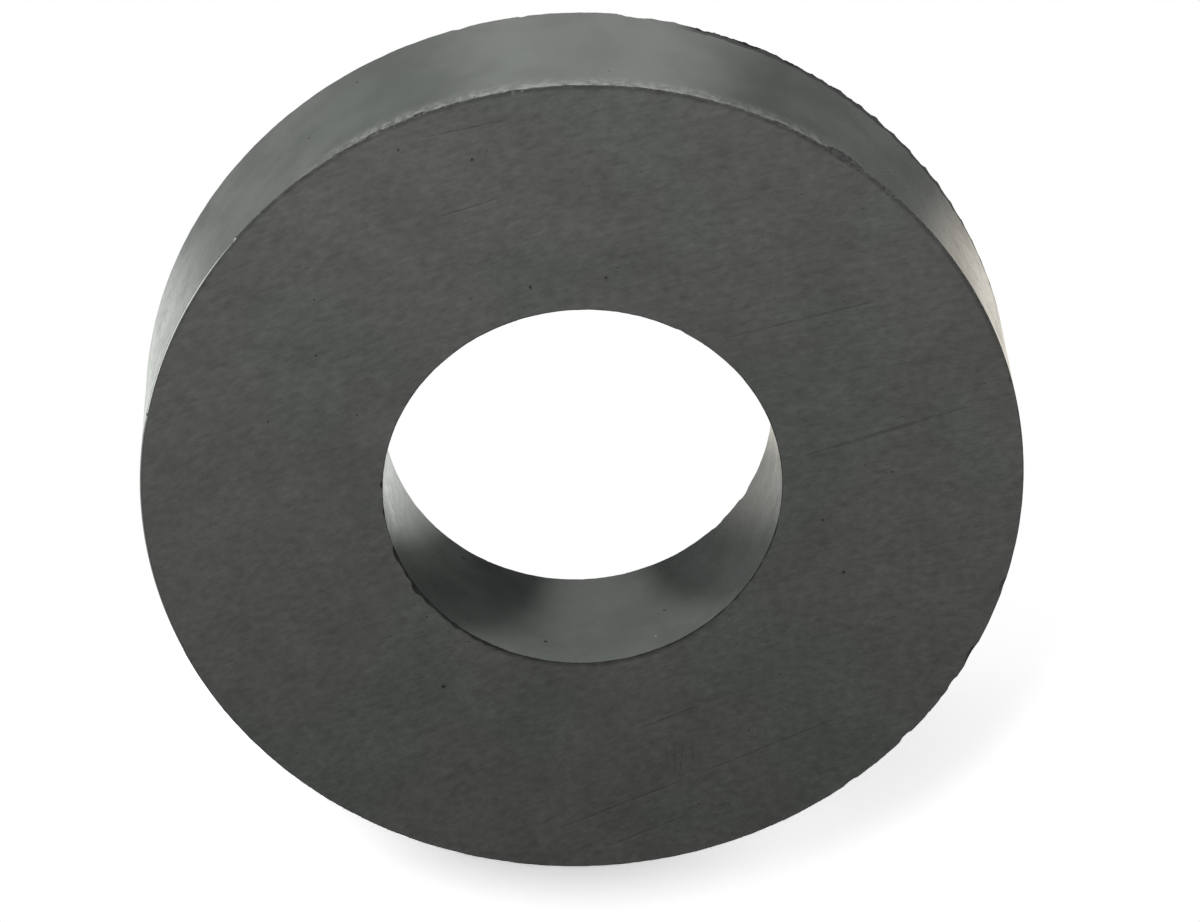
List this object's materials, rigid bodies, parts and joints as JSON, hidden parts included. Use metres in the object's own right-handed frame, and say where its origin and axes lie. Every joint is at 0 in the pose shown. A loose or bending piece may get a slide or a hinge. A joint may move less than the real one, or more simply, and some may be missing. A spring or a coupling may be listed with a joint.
{
  "type": "ring magnet",
  "caption": "Flat sintered ferrite ring magnet with a plain through bore, two ground faces and small chips along its brittle edges.",
  "frame": {"origin": "centre of the ring's underside, on its axis", "axes": "+Z is the ring's axis and points up out of the face that the picture shows; +Y points to the side of the rim that the picture shows at the top, and +X to its right"},
  "size_m": [0.05, 0.05, 0.01],
  "materials": {
    "ferrite": "sintered strontium ferrite: faces ground matt charcoal, rim and bore satin grey-green as they left the furnace, chips darker and glossier"
  },
  "bodies": {
    "root": {"ring_magnet": "ferrite"}
  },
  "joints": []
}
